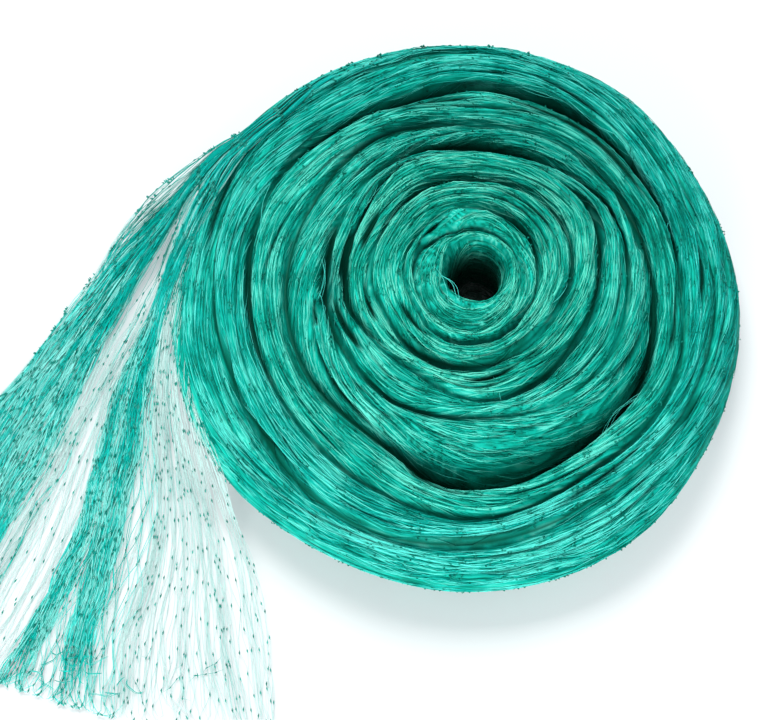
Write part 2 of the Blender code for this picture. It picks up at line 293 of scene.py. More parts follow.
chance = np.random.default_rng(11)
LATTICE = chance.random(8192)
EDGES = np.array([row["edge"] for row in (RIM, *TURNS)]) * MM
CROWNS = np.array([row["crown"] for row in TURNS]) * MM
CREASES = np.array([row["crease"] for row in (RIM, *TURNS)]) * MM
SHUT = np.vstack([CREASES[:1], np.minimum(CROWNS, np.vstack([CROWNS[1:], CROWNS[-1:]])) - 1.2 * MM])
OPEN = np.vstack([np.ones((1, 12)), [row["open"] for row in TURNS]])
CREASES += (1 - OPEN) * np.maximum(SHUT - CREASES, 0)
ROUND_STEPS = np.radians(np.arange(-360, 721))
DRIFTS = np.zeros((12, len(ROUND_STEPS)))


def round_table(rows, which, angle):
    """A smooth value between columns that stand evenly round the circle."""
    place = angle / TAU * 12
    i = np.floor(place).astype(int)
    t = place - i
    a, b, c, d = (rows[which, (i + k) % 12] for k in (-1, 0, 1, 2))
    return b + 0.5 * t * (c - a + t * (2 * a - 5 * b + 4 * c - d + t * (3 * (b - c) + d - a)))


for band in range(12):
    source = min(max(band - 1, 0), 8)
    rate = round_table(np.array([TURNS[source]["drift"]]), 0, ROUND_STEPS) / math.radians(30)
    DRIFTS[band] = np.concatenate(([0], np.cumsum((rate[1:] + rate[:-1]) / 2 * np.diff(ROUND_STEPS))))
    DRIFTS[band] -= DRIFTS[band][360]


def drift(turn, angle):
    """How far outwards a yarn has moved at this angle, in shares of its turn's width."""
    moved = np.zeros(np.shape(angle))
    for band in np.unique(turn):
        at = turn == band
        moved[at] = np.interp(angle[at], ROUND_STEPS, DRIFTS[band + 1])
    return moved


def soft_noise(a, b):
    """A smooth value from 0 to 1 that wavers over a plane."""
    i, j = np.floor(a).astype(int), np.floor(b).astype(int)
    s, t = a - i, b - j
    s, t = s * s * (3 - 2 * s), t * t * (3 - 2 * t)

    def corner(right, up):
        return LATTICE[((i + right) * 1327 + (j + up) * 3571) % len(LATTICE)]

    near = corner(0, 0) * (1 - s) + corner(1, 0) * s
    return near * (1 - t) + (corner(0, 1) * (1 - s) + corner(1, 1) * s) * t


def eased(value, low, high):
    """0 below low, 1 above high, smooth between."""
    t = np.clip((value - low) / (high - low), 0, 1)
    return t * t * (3 - 2 * t)


def crown_fall(share, width, sharp):
    """1 at a crease, falling to 0 where the crown begins, width of the turn away."""
    return np.maximum(0, 1 - share / width) ** sharp


def band_section(turn, share, angle):
    """(radius, height) on the smooth roll, before its folds."""
    k = np.clip(turn, 0, 8)
    low_radius, high_radius = round_table(EDGES, k, angle), round_table(EDGES, k + 1, angle)
    low_height, high_height = round_table(CREASES, k, angle), round_table(CREASES, k + 1, angle)
    crown = round_table(CROWNS, k, angle)
    radius = low_radius + share * (high_radius - low_radius)
    falls = zip(SLOPE_FALL, CROWN_FALL)
    outer_fall = (np.where(np.isin(k, SLOPING), slope, plain) for slope, plain in falls)
    height = crown - (crown - low_height) * crown_fall(share, *CROWN_FALL)
    height -= (crown - high_height) * crown_fall(1 - share, *outer_fall)
    widest = round_table(EDGES, np.full(np.shape(k), 9), angle)
    foot = widest - FOOT_DRAW
    cases = [turn == EYE_WALL, turn == OUTER_WALL, turn == UNDERSIDE]
    radius = np.select(cases, [EYE_RADIUS + EYE_FLARE * share**6, widest - FOOT_DRAW * share**1.8,
                               foot + share * (EYE_RADIUS - foot)], radius)
    height = np.select(cases, [EYE_TOP * MM * share, WALL_HEIGHT * (1 - share), 0 * share], height)
    return radius, height


def band_width(turn, angle):
    """The width of a band, along which its share runs."""
    k = np.clip(turn, 0, 8)
    width = round_table(EDGES, k + 1, angle) - round_table(EDGES, k, angle)
    return np.select([turn == EYE_WALL, turn == OUTER_WALL, turn == UNDERSIDE],
                     [EYE_TOP * MM, WALL_SPAN, FOOT_SPAN], width)


folds = [list(turn_folds) for turn_folds in FOLDS]
for turn, count in enumerate(SMALL_FOLDS_A_TURN):
    for start, share, length, deep, wide in chance.random((count, 5)):
        start, length = 360 * start, 18 + 50 * length
        ends = np.radians([start, start + length])
        low, high = np.interp(ends, ROUND_STEPS, DRIFTS[turn + 1])
        deep = (0.7 if turn > 4 else 1.1) + 1.4 * deep
        folds[turn].append((start, start + length, share, share + high - low, deep, 0.55 + 0.5 * wide))


def folded_in(turn, share, angle, width):
    """How deep the folds go here, and how far their lips stand up."""
    depth, lip = np.zeros(np.shape(share)), np.zeros(np.shape(share))
    for fold_turn, turn_folds in enumerate(folds):
        on_turn = np.nonzero(turn == fold_turn)
        for start, stop, low, high, deep, wide in turn_folds:
            t = np.mod(angle[on_turn] - math.radians(start), TAU) / math.radians(stop - start)
            at, t = tuple(axis[t < 1] for axis in on_turn), t[t < 1]
            off = (share[at] - low - t * (high - low)) * width[at] / (wide * MM)
            lens = deep * MM * np.sin(np.pi * t) ** 0.7
            depth[at] = np.maximum(depth[at], lens * (0.65 * np.exp(-off**2) + 0.35 / (1 + off**2 / 3)))
            lip[at] = np.maximum(lip[at], 0.3 * lens * np.exp(-((off + 2.6) / 1.6) ** 2))
    return depth, lip


def closed(wave, turn, share, angle, width):
    """A wave along and across the yarns, blended where it would not meet itself after one way round."""
    angle = np.mod(angle, TAU)
    closing = eased(angle, 5.6, TAU)
    first, second = (wave(turn, (share - drift(turn, at)) * width / MM, at) for at in (angle, angle - TAU))
    return first * (1 - closing) + second * closing


def bunch_wave(turn, across, angle):
    """1 on the top of a bunch and -1 between two."""
    across = across * MM / BUNCH_WIDTH + 40 * turn
    wander = soft_noise(across / 4 + 9, angle * 4.0) + 0.5 * soft_noise(across / 1.7, angle * 9.0)
    return np.cos(TAU * (across + 1.6 * wander))


def lock_line(turn, across, angle):
    """How deep the line between two locks is here, 0 on a lock's back."""
    across = across * MM / LOCK_WIDTH + 23 * turn
    across = across + 0.9 * soft_noise(across / 3 + 5, angle * 2.5)
    line = np.floor(across + 0.5)
    along = angle * (1.2 + 0.35 * np.clip(turn, 0, 9)) + line * 0.37
    opened = eased(soft_noise(line * 7.3 + 3, along), 0.42, 0.85)
    return opened * (1 - np.abs(np.sin(np.pi * across)) ** 0.42)


def pale_streak(turn, across, angle):
    """From -1 to 1, how pale a run of yarns is, with painted shade on the outer turns' side towards +X."""
    fine = soft_noise(across / 0.8 + 57 * turn, angle * (1.5 + 0.7 * np.clip(turn, 0, 9)))
    broad = soft_noise(across / 3.1 + 11, angle * (1.0 + 0.4 * np.clip(turn, 0, 9)))
    # Painted shade: the outer turns are darker on their side towards +X.
    side_shade = 0.4 * np.cos(np.minimum(np.abs(np.mod(angle + 3.0, TAU) - 3.0), 1) * 1.57) * (turn > 5)
    return 1.5 * (fine - 0.5) + 0.8 * (broad - 0.5) - side_shade


# Pale stretches, where the yarns lie flat and their sheen is painted as a paler colour: the turn, the share
# of its width, and the directions.
SHEEN_STRETCHES = (
    (7, .55, 195, 209), (7, .42, 211, 225), (7, .22, 225, 240), (4, .26, 218, 233), (4, .16, 234, 246),
    (5, .66, 226, 241), (6, .40, 242, 260), (8, .20, 234, 264), (8, .40, 203, 223), (6, .50, 288, 312),
    (7, .35, 282, 300), (8, .30, 268, 290), (6, .45, 138, 156),
)


def sheen_stretch(turn, share, angle):
    """How pale the yarns are painted here, as sheen, over a whole stretch."""
    total = np.zeros(np.shape(share))
    for sheen_turn, middle, low, high in SHEEN_STRETCHES:
        t = np.mod(angle - math.radians(low), TAU) / math.radians(high - low)
        lens = np.where((turn == sheen_turn) & (t < 1), np.sin(np.pi * np.minimum(t, 1)) ** 0.6, 0)
        total += lens * np.exp(-((share - middle) / 0.3) ** 2)
    return total


def on_roll(turn, share, angle, lift):
    """Points lifted off the folded roll, how much painted shade each takes from its crease, fold or lock
    line (0 to 1), and how pale it is, with painted light on the bunch tops.
    """
    width = band_width(turn, angle)
    radius, height = band_section(turn, share, angle)
    low = band_section(turn, np.maximum(share - 0.03, 0), angle)
    high = band_section(turn, np.minimum(share + 0.03, 1), angle)
    run, rise = high[0] - low[0], high[1] - low[1]
    size = np.hypot(run, rise)
    depth, lip = folded_in(turn, share, angle, width)
    near_crease = np.clip(np.minimum(share, 1 - share) / 0.12, 0, 1)
    bunch = closed(bunch_wave, turn, share, angle, width)
    line = closed(lock_line, turn, share, angle, width) * near_crease
    streak = closed(pale_streak, turn, share, angle, width)
    raised = lift + (lip + BUNCH_HEIGHT * bunch) * near_crease - depth * (0.25 + 0.75 * near_crease)
    raised -= LOCK_DEPTH * np.where(turn > 8, 0.6, 1) * line
    radius = radius - rise / size * raised
    height = height + run / size * raised
    k = np.clip(turn, 0, 8)
    crown = round_table(CROWNS, k, angle)
    # Painted shade: the nearer a point lies to a deep crease, the darker it is painted; a deep fold or an
    # open line between locks darkens it too.
    drops = (crown - round_table(CREASES, side, angle) for side in (k, k + 1))
    shade_in, shade_out = (np.clip(drop / SHADE_DROP, 0, 1) for drop in drops)
    recess_shade = np.maximum(crown_fall(share, 0.42, 2.9) * shade_in,
                        crown_fall(1 - share, np.where(k == 5, 0.6, 0.42), 2.8) * shade_out)
    # The eye's wall is painted darkest low down; the walls outside the turns and the outer half of the last
    # turn take none.
    recess_shade = np.where((turn < 0) | (turn > 8), 0, recess_shade)
    recess_shade = np.where(turn == EYE_WALL, 1 - share**3, recess_shade)
    recess_shade = np.where((turn == 8) & (share > 0.5), 0, recess_shade)
    deep = np.clip(np.maximum(recess_shade, np.maximum(depth / SHADE_FOLD, 0.95 * line)), 0, 1)
    place = np.stack([EYE_AXIS[0] + radius * np.cos(angle), EYE_AXIS[1] + radius * np.sin(angle),
                      np.maximum(height, 0.1 * MM)], axis=-1)
    # Paleness: painted light on the top of each bunch and painted shade between two, a tone that wavers at
    # random along the runs of yarn, and painted sheen on the flat stretches.
    return place, deep, 0.65 * bunch + streak + 0.6 * sheen_stretch(turn, share, angle)


def knot_rows(turn, share, angle, width):
    """The number of knot rows passed on the way round, which wavers across the yarns."""
    k = np.clip(turn, 0, 8)
    middle = (EDGES.mean(1)[k] + EDGES.mean(1)[k + 1]) / 2
    across = (share - drift(turn, angle)) * width / MM
    waver = 1.3 * soft_noise(across / 6 + 31 * turn, angle * 2.0)
    waver += 0.35 * soft_noise(across / 1.6, angle * 7.0)
    return angle / TAU * np.round(TAU * middle / BAR) + waver


def point_values(mesh, **values):
    """Keeps a value for each point of the mesh, for its material to read."""
    for name, numbers in values.items():
        layer = mesh.attributes.new(name, "FLOAT", "POINT")
        layer.data.foreach_set("value", np.asarray(numbers, dtype=np.float32).ravel())


core_bands = np.repeat(np.arange(EYE_WALL, UNDERSIDE + 1), CORE_ROWS)
core_shares = np.concatenate([np.arange(count) / count for count in CORE_ROWS])
core_rows = len(core_bands)
core_shape = bmesh.new()
bmesh.ops.create_grid(core_shape, x_segments=CORE_COLUMNS, y_segments=core_rows, size=1)
core_mesh = bpy.data.meshes.new("wound_core")
core_shape.to_mesh(core_mesh)
core_shape.free()
flat = np.empty(len(core_mesh.vertices) * 3)
core_mesh.vertices.foreach_get("co", flat)
flat = flat.reshape(-1, 3)
column = np.round((flat[:, 0] + 1) / 2 * CORE_COLUMNS).astype(int) % CORE_COLUMNS
row = np.round((flat[:, 1] + 1) / 2 * core_rows).astype(int) % core_rows
turn, share, angle = core_bands[row], core_shares[row], TAU * column / CORE_COLUMNS
width = band_width(turn, angle)
place, deep, pale = on_roll(turn, share, angle, np.full(len(share), -CORE_SUNK))
core_mesh.vertices.foreach_set("co", place.ravel())
rows_passed = knot_rows(turn, share, angle, width)
# The core keeps its painted crease shade as its deep value.
point_values(core_mesh, deep=deep, tint=0.35 + 0.4 * pale, rows=np.abs(np.mod(rows_passed, 1) - 0.5) * 2)
core_shape = bmesh.new()
core_shape.from_mesh(core_mesh)
bmesh.ops.remove_doubles(core_shape, verts=core_shape.verts, dist=0.005 * MM)
bmesh.ops.recalc_face_normals(core_shape, faces=core_shape.faces)
core_shape.to_mesh(core_mesh)
core_shape.free()
core_mesh.shade_smooth()
wound_core = link(bpy.data.objects.new("wound_core", core_mesh))


# The four shades of a dyed yarn: pale, for a paler tone and painted light; plain; darker, for painted shade
# and the knot rows; and nearly black, for the painted shade deep in a crease.
SHADES = ("Pale", "Dyed", "Shaded", "Shadow Green")
GATHERED = ((0.12, 0.71, 0.585), (0.004, 0.425, 0.335), (0.001, 0.20, 0.142), (0.0004, 0.055, 0.034))
YARN_GLOSS, YARN_IOR = 0.11, 1.25
# The scales of the dye's fine and broad patches, and of the fibres on the core's skin.
MOTTLE, PATCHES, FIBRES = 150, 42, 900


def yarn_colour_group():
    """Dyed nylon yarn: painted pale on a bunch, darker near a row of knots, and painted nearly black with
    shade deep in a crease.
    """
    group = bpy.data.node_groups.new("yarn_colour", "ShaderNodeTree")
    for names, way, kind in ((("Tint", "Painted Shade", "Knot Row"), "INPUT", "Float"), (SHADES, "INPUT", "Color"),
                             (("Colour",), "OUTPUT", "Color"), (("Roughness",), "OUTPUT", "Float")):
        for name in names:
            group.interface.new_socket(name, in_out=way, socket_type="NodeSocket" + kind)
    n = Nodes(group)
    given = n.add("NodeGroupInput").outputs
    where = n.add("ShaderNodeTexCoord").outputs["Object"]
    mottle = n.noise(where, MOTTLE, 3)
    patch = n.noise(where, PATCHES, 2)
    tint = given["Tint"]
    for noise, share in ((mottle, 0.55), (patch, 0.7)):
        tint = n.maths("ADD", tint, n.maths("MULTIPLY", n.maths("SUBTRACT", noise, 0.5), share))
    tint = n.maths("SUBTRACT", tint, n.maths("MULTIPLY", n.ramp(given["Knot Row"], 0.35, 0.8), 0.08))
    colour = n.mix(n.ramp(tint, -0.1, 0.45), given["Shaded"], given["Dyed"])
    colour = n.mix(n.ramp(tint, 0.4, 1.0), colour, given["Pale"])
    rows = n.maths("MULTIPLY", n.ramp(given["Knot Row"], 0.6, 0.95), n.ramp(mottle, 0.4, 0.62))
    colour = n.mix(n.maths("MULTIPLY", rows, 0.65), colour, given["Shaded"])
    # Painted shade: the deeper a point's crease, fold or lock line, the nearer its colour comes to the
    # shadow green.
    colour = n.mix(n.ramp(given["Painted Shade"], 0.12, 0.85), colour, given["Shadow Green"])
    rough = n.maths("ADD", n.maths("MULTIPLY", mottle, 0.3), 0.3)
    out = n.add("NodeGroupOutput")
    n.put(out.inputs["Colour"], colour)
    n.put(out.inputs["Roughness"], rough)
    return group


YARN_COLOUR = yarn_colour_group()


def yarn_material(name, shades, bump=0.0):
    material, shader = plain_material(name)
    n = Nodes(material.node_tree)
    group = n.add("ShaderNodeGroup", node_tree=YARN_COLOUR)
    for socket, attribute in (("Tint", "tint"), ("Painted Shade", "deep"), ("Knot Row", "rows")):
        n.put(group.inputs[socket], n.add("ShaderNodeAttribute", attribute_name=attribute).outputs["Fac"])
    for socket, colour in zip(SHADES, shades):
        group.inputs[socket].default_value = (*colour, 1)
    n.put(shader.inputs["Base Color"], group.outputs["Colour"])
    n.put(shader.inputs["Roughness"], group.outputs["Roughness"])
    shader.inputs["Specular IOR Level"].default_value = YARN_GLOSS
    shader.inputs["IOR"].default_value = YARN_IOR
    if bump:
        where = n.add("ShaderNodeTexCoord").outputs["Object"]
        node = n.add("ShaderNodeBump")
        node.inputs["Strength"].default_value = bump
        node.inputs["Distance"].default_value = BUNCH_HEIGHT
        n.put(node.inputs["Height"], n.noise(where, FIBRES, 2))
        n.put(shader.inputs["Normal"], node.outputs["Normal"])
    return material


wound_core.data.materials.append(yarn_material("packed_yarn", GATHERED, bump=0.5))
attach(wound_core, "root")
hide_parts("wound_roll")

# ---- The yarns of the turns ----
# The outermost yarns of each turn, thin green nylon threads that run along the gathered rope, drift across
# it with its twist, and sink into the creases. Each is a thin three-sided thread with closed, tapered ends.
YARN_RADIUS, THREAD_END = 0.19 * MM, 0.0005 * MM
YARN_SUNK = 0.8 * MM
# A yarn's least length and what chance adds to it, in millimetres, and what one is reckoned at, in metres.
LEAST_LENGTH, MORE_LENGTH, METRES_A_YARN = 60, 80, 0.095
MOST_POINTS = 30
YARN_GROUPS = {
    "inner_yarns": dict(turns=(-1, 0, 1, 2, 3), metres=78, seed=21, colour_scale=(1.0, 0.95, 0.91)),
    "middle_yarns": dict(turns=(4, 5, 6), metres=120, seed=22, colour_scale=(0.9, 0.97, 0.97)),
    "outer_yarns": dict(turns=(7, 8), metres=128, seed=23, colour_scale=(0.75, 1.0, 1.07)),
    "wall_yarns": dict(turns=(9, 10), metres=52, seed=24, colour_scale=(0.75, 1.0, 1.07)),
}

section_curve = bpy.data.curves.new("yarn_section", "CURVE")
section_curve.dimensions = "2D"
triangle = section_curve.splines.new("POLY")
triangle.points.add(2)
for corner, point in enumerate(triangle.points):
    point.co = (math.cos(-TAU * corner / 3), math.sin(-TAU * corner / 3), 0, 1)
triangle.use_cyclic_u = True
yarn_section = link(bpy.data.objects.new("yarn_section", section_curve))


def threads(name, paths, sizes, material, tints, shade_and_knot_dark=0, rows=0):
    """Threads along the paths as one mesh, with closed, tapered ends. Sizes and values are one for all, or
    one for each path, and a path's own value may be one for each of its points."""
    curve = bpy.data.curves.new(name, "CURVE")
    curve.dimensions = "3D"
    curve.bevel_mode = "OBJECT"
    curve.bevel_object = yarn_section
    for path, size in zip(paths, np.broadcast_to(sizes, len(paths))):
        spline = curve.splines.new("POLY")
        spline.points.add(len(path) - 1)
        spline.points.foreach_set("co", np.column_stack([path, np.ones(len(path))]).ravel())
        spline.points.foreach_set("radius", [THREAD_END] + [size] * (len(path) - 2) + [THREAD_END])
    holder = link(bpy.data.objects.new(name, curve))
    mesh = bpy.data.meshes.new_from_object(holder.evaluated_get(bpy.context.evaluated_depsgraph_get()))
    bpy.data.objects.remove(holder)
    bpy.data.curves.remove(curve)

    def at_points(values):
        values = values if np.iterable(values) else [values] * len(paths)
        values = [np.full(len(path), value) for path, value in zip(paths, values)]
        return np.repeat(np.concatenate(values), 3)

    # The painted shade, and the dark of loose knots, go to the yarn colour as its deep value.
    point_values(mesh, tint=at_points(tints), deep=at_points(shade_and_knot_dark), rows=at_points(rows))
    shape = bmesh.new()
    shape.from_mesh(mesh)
    bmesh.ops.remove_doubles(shape, verts=shape.verts, dist=0.002 * MM)
    bmesh.ops.triangulate(shape, faces=[face for face in shape.faces if len(face.verts) > 4])
    shape.to_mesh(mesh)
    shape.free()
    mesh.name = name
    mesh.materials.clear()
    mesh.materials.append(material)
    mesh.shade_smooth()
    return link(bpy.data.objects.new(name, mesh))


for name, plan in YARN_GROUPS.items():
    # The turns' colours are scaled: the outer ones to a slightly bluer green, the inner and middle ones a
    # little darker.
    yarn_skin = yarn_material(name + "_green", np.multiply(GATHERED, plan["colour_scale"]))
    dice = np.random.default_rng(plan["seed"])
    bands = np.array(plan["turns"])
    grid = np.linspace(0, TAU, 73)[:-1]
    rings = np.repeat(bands[:, None], len(grid), axis=1)
    middles = band_section(rings, np.full(rings.shape, 0.5), np.broadcast_to(grid, rings.shape))[0]
    areas = np.mean(band_width(rings, np.broadcast_to(grid, rings.shape)) * middles, axis=1)
    areas *= np.where(bands == UNDERSIDE, 0.12, np.where(bands == EYE_WALL, 0.5, 1.0))
    count = int(plan["metres"] / METRES_A_YARN)
    band = dice.choice(bands, count, p=areas / areas.sum())
    centre = dice.random(count) * TAU
    start_share = dice.random(count)
    middle = band_section(band, start_share, centre)[0]
    step = 3.4 * MM + 0.036 * middle
    length = (LEAST_LENGTH + MORE_LENGTH * dice.random(count)) * MM
    number = np.clip(np.round(length / step).astype(int), 6, MOST_POINTS)
    index = np.arange(MOST_POINTS)[None, :] - number[:, None] / 2
    angle = centre[:, None] + index * (step / middle)[:, None]
    turn = np.repeat(band[:, None], MOST_POINTS, axis=1)
    width = band_width(turn, angle)
    sway = 0.75 * MM * np.sin(TAU * index * step[:, None] / (2 * BAR) + 20 * start_share[:, None])
    share = (start_share - drift(band, centre))[:, None] + drift(turn, angle) + sway / width
    used = (np.arange(MOST_POINTS)[None, :] < number[:, None]) & (share > 0.01) & (share < 0.99)
    lift = np.repeat((0.05 + 0.4 * dice.random(count) ** 2)[:, None] * MM, MOST_POINTS, axis=1)
    place, deep, pale = on_roll(turn, np.clip(share, 0, 1), angle, lift)
    rows_passed = knot_rows(turn, share, angle, width)
    near_row = np.abs(np.mod(rows_passed, 1) - 0.5) * 2
    own = dice.normal(0, 0.13, count)
    broken = soft_noise(np.arange(count)[:, None] * 1.7, index / 1.6 + 40)
    tint = 0.53 + 0.55 * pale + own[:, None] + 0.28 * (broken - 0.5)
    paths, sizes, picked = [], [], []
    for i in range(count):
        run = np.nonzero(used[i])[0]
        if len(run) < 5 or run[-1] - run[0] != len(run) - 1:
            continue
        path = place[i, run]
        path[[0, -1], 2] -= YARN_SUNK
        path[:, 2] = np.maximum(path[:, 2], 0.15 * MM)
        paths.append(path)
        sizes.append(YARN_RADIUS * (0.85 + 0.6 * abs(own[i])))
        picked.append((i, run))
    # The yarns take the painted shade of the creases they lie in.
    values = ([numbers[at] for at in picked] for numbers in (tint, deep, near_row))
    yarns = threads(name, paths, sizes, yarn_skin, *values)
    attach(yarns, "root")
    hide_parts("wound_roll")

# ---- The knots of the roll ----
# Each crossing of the net is a tight sheet-bend knot, a dark speck about a millimetre long. The knots lie
# in rows across the gathered rope, and here and there one stands out on the roll's outline.
KNOT_COUNT = 5200
KNOT_LENGTH = 1.5 * MM
KNOT_RADIUS = 0.42 * MM
KNOTTED = ((0.012, 0.30, 0.23), (0.004, 0.19, 0.14), (0.002, 0.12, 0.085), (0.0006, 0.03, 0.02))
knot_skin = yarn_material("knot_yarn", KNOTTED)
dice = np.random.default_rng(31)
bands = np.arange(0, 10)
areas = EDGES.mean(1)[np.minimum(bands + 1, 9)] * (np.append(np.diff(EDGES.mean(1)), 20 * MM))
turn = dice.choice(bands, KNOT_COUNT, p=areas / areas.sum())
angle = dice.random(KNOT_COUNT) * TAU
share = 0.08 + 0.84 * dice.random(KNOT_COUNT)
for _ in range(3):
    rows_passed = knot_rows(turn, share, angle, band_width(turn, angle))
    k = np.clip(turn, 0, 8)
    rows_round = np.round(TAU * (EDGES.mean(1)[k] + EDGES.mean(1)[k + 1]) / 2 / BAR)
    off = rows_passed - np.round(rows_passed) + 0.15 * np.sin(900 * share)
    angle = angle - off / rows_round * TAU
radius = band_section(turn, share, angle)[0]
on_outline = (turn == 8) & (np.abs(share - 0.65) < 0.2) & (np.abs(angle - 2.1) < 0.8)
proud = on_outline | (dice.random(KNOT_COUNT) < 0.1)
lift = np.where(proud, 0.9, 0.45) * MM
ends = []
for side in (-0.5, 0, 0.5):
    moved = angle + side * KNOT_LENGTH / radius
    askew = np.clip(share + side * 0.4 * MM / band_width(turn, angle), 0, 1)
    ends.append(on_roll(turn, askew, moved, lift * (1 if side == 0 else 0.6))[:2])
knot_paths = np.stack([place for place, _ in ends], axis=1)
knot_sizes = KNOT_RADIUS * (0.8 + 0.4 * dice.random(KNOT_COUNT)) * np.where(on_outline, 1.4, 1)
# Knots in a crease take its painted shade.
roll_knots = threads("roll_knots", knot_paths, knot_sizes, knot_skin, dice.random(KNOT_COUNT), ends[1][1])
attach(roll_knots, "root")
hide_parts("wound_roll")

# ---- The spread net ----
# The last stretch of the netting leaves the outer turn in loose bundles, falls to the floor and fans out to
# its cut end. Every yarn meets its two neighbours in turn at a knot each bar. The netting lies in narrow
# strips that slide over each other, and where it is thin, long diamonds stay open between its yarns.

# The net's rows, in millimetres: the distance along the yarns, the points of its left and right edges from
# the eye's axis, how far a row bows out, its top, and its thickness there.
ROW_COLUMNS = ("along", "left x", "left y", "right x", "right y", "bow", "top", "thick")
NET_ROWS = dict(zip(ROW_COLUMNS, zip(
    (-70, -40, 139, -36, 126, 0, 45, 3),
    (-40, -66, 126, -57, 108, 0, 42, 4),
    (-20, -81, 113, -72, 93, 0, 37, 8),
    (0, -97, 101, -87, 78, 0, 31, 12),
    (20, -117, 94, -105, 72, 1, 28, 12),
    (40, -134, 84, -116, 57, 2, 25, 11),
    (60, -147, 70, -124, 39, 3, 21, 10),
    (80, -160, 54, -129, 19, 5, 16, 9),
    (110, -179, 32, -133, -9, 8, 11, 8),
    (150, -204, 0, -135, -46, 10, 6, 5),
    (190, -227, -31, -123, -85, 12, 4, 3.4),
    (230, -250, -64, -111, -122, 14, 3, 2.6),
    (325, -304, -139, -95, -206, 18, 2.6, 2.2),
)))
# The bundles and the thin places between them, from the left edge to the right: the yarns in each, the
# yarns of the bed or the thin layer under it, and the share of the net's width where it ends at each
# station along it. A roped bundle is round where it leaves the roll. In a single part the yarns lie one by
# one, and in a short part most of them end before the others.
PART_STATIONS = np.array((-60, -20, 20, 40, 60, 80, 100, 120, 160, 200, 240, 280, 325))
LEFT_EDGE = (-.15, -.16, .05, -.01, -.13, -.18, -.14, -.05, 0, 0, 0, 0, 0)
PARTS = (
    dict(yarns=15, under=30, ends=(-.13, -.14, .13, .10, .06, -.02, -.04, .01, .01, .01, .01, .01, .01)),
    dict(yarns=28, bed=16, ends=(-.10, -.12, .14, .13, .11, .06, .02, .02, .02, .03, .03, .03, .03)),
    dict(yarns=50, bed=38, roped=1,
         ends=(.03, -.04, .20, .21, .21, .15, .11, .12, .12, .12, .12, .12, .12)),
    dict(yarns=18, bed=18, ends=(.03, -.03, .205, .22, .22, .17, .16, .18, .17, .16, .16, .16, .16)),
    dict(yarns=66, bed=50, roped=1,
         ends=(.15, .07, .31, .35, .35, .27, .26, .285, .295, .285, .26, .24, .22)),
    dict(yarns=6, under=24, single=1,
         ends=(.155, .075, .315, .355, .36, .44, .44, .44, .385, .335, .32, .305, .30)),
    dict(yarns=4, under=6, ends=(.17, .08, .33, .36, .365, .445, .445, .445, .39, .34, .325, .31, .305)),
    dict(yarns=8, under=22, single=1,
         ends=(.18, .09, .34, .37, .41, .53, .535, .52, .475, .465, .46, .435, .40)),
    dict(yarns=50, bed=46, roped=1,
         ends=(.27, .14, .43, .51, .565, .60, .60, .59, .555, .52, .495, .465, .435)),
    dict(yarns=14, under=6, ends=(.28, .145, .44, .545, .63, .65, .625, .605, .575, .545, .525, .53, .52)),
    dict(yarns=64, bed=54, short=1, roped=1,
         ends=(.36, .21, .60, .74, .76, .73, .70, .69, .67, .625, .595, .575, .60)),
    dict(yarns=12, under=24, ends=(.365, .215, .61, .75, .77, .74, .715, .72, .735, .74, .71, .665, .67)),
    dict(yarns=7, under=14, single=1,
         ends=(.37, .22, .62, .76, .78, .755, .74, .755, .765, .765, .73, .69, .70)),
    dict(yarns=22, under=44, single=1,
         ends=(.62, .62, .62, .79, .83, .83, .85, .87, .89, .905, .90, .905, .925)),
    dict(yarns=7, single=1, under=8,
         ends=(.95, .95, .95, .97, .97, .97, .98, .99, .94, .93, .925, .93, .95)),
    dict(yarns=9, under=12, single=1,
         ends=(.97, .97, .97, .99, .99, 1.0, 1.0, 1.01, .99, 1.02, 1.03, 1.02, 1.0)),
    dict(yarns=3, single=1,
         ends=(1.0, 1.0, 1.0, 1.02, 1.02, 1.02, 1.02, 1.03, 1.0, 1.035, 1.04, 1.03, 1.01)),
)
# The yarns of the parts from this one on leave the roll one after another.
LATE_PART = 13
FIRST_ROW, LATE_ROWS, LAST_ROW = -3, (2, 7), 17
# In millimetres along the net: a bar, where the cut end begins to part, where it lies, and the longest
# yarn's end.
BAR_MM = 20
FRAYS, CUT, LONGEST = 285, 325, 338
# A part that the light catches where it leaves the roll, and how far along.
LIT_PART, LIT_AT = 9, 66
FULL_YARN, SINGLE_YARN = 0.18 * MM, 0.11 * MM
POINTS_A_BAR = 3
STRIP, SINGLE_STRIP = 5, 4
RAGGED = 0.045
# How far a bar may swing to one side, however wide the thin place it crosses, and how proud a knot stands.
MOST_SWING, KNOT_RAISED = 3 * MM, 0.4 * MM

PART_ENDS = np.array([LEFT_EDGE] + [part["ends"] for part in PARTS])
PART_YARNS = np.array([part["yarns"] for part in PARTS])
YARNS_BEFORE = np.concatenate(([0], np.cumsum(PART_YARNS)))
KINDS = ("roped", "single", "short")
ROPED, SINGLE, SHORT = (np.array([part.get(kind, 0) for part in PARTS]) for kind in KINDS)
NET_YARNS = int(YARNS_BEFORE[-1])


def along_table(along, name):
    """A column of the net's rows at this distance, eased over its corners."""
    return sum(np.interp(along + ease, NET_ROWS["along"], NET_ROWS[name]) for ease in (-12, -4, 4, 12)) / 4


def part_end(which, along):
    """The share of the width where this many parts end."""
    total = 0
    for ease in (-9, -3, 3, 9):
        at = np.clip(along + ease, PART_STATIONS[0], PART_STATIONS[-1] - 0.001)
        i = np.searchsorted(PART_STATIONS, at, side="right") - 1
        t = (at - PART_STATIONS[i]) / (PART_STATIONS[i + 1] - PART_STATIONS[i])
        total = total + PART_ENDS[which, i] * (1 - t) + PART_ENDS[which, i + 1] * t
    return total / 4


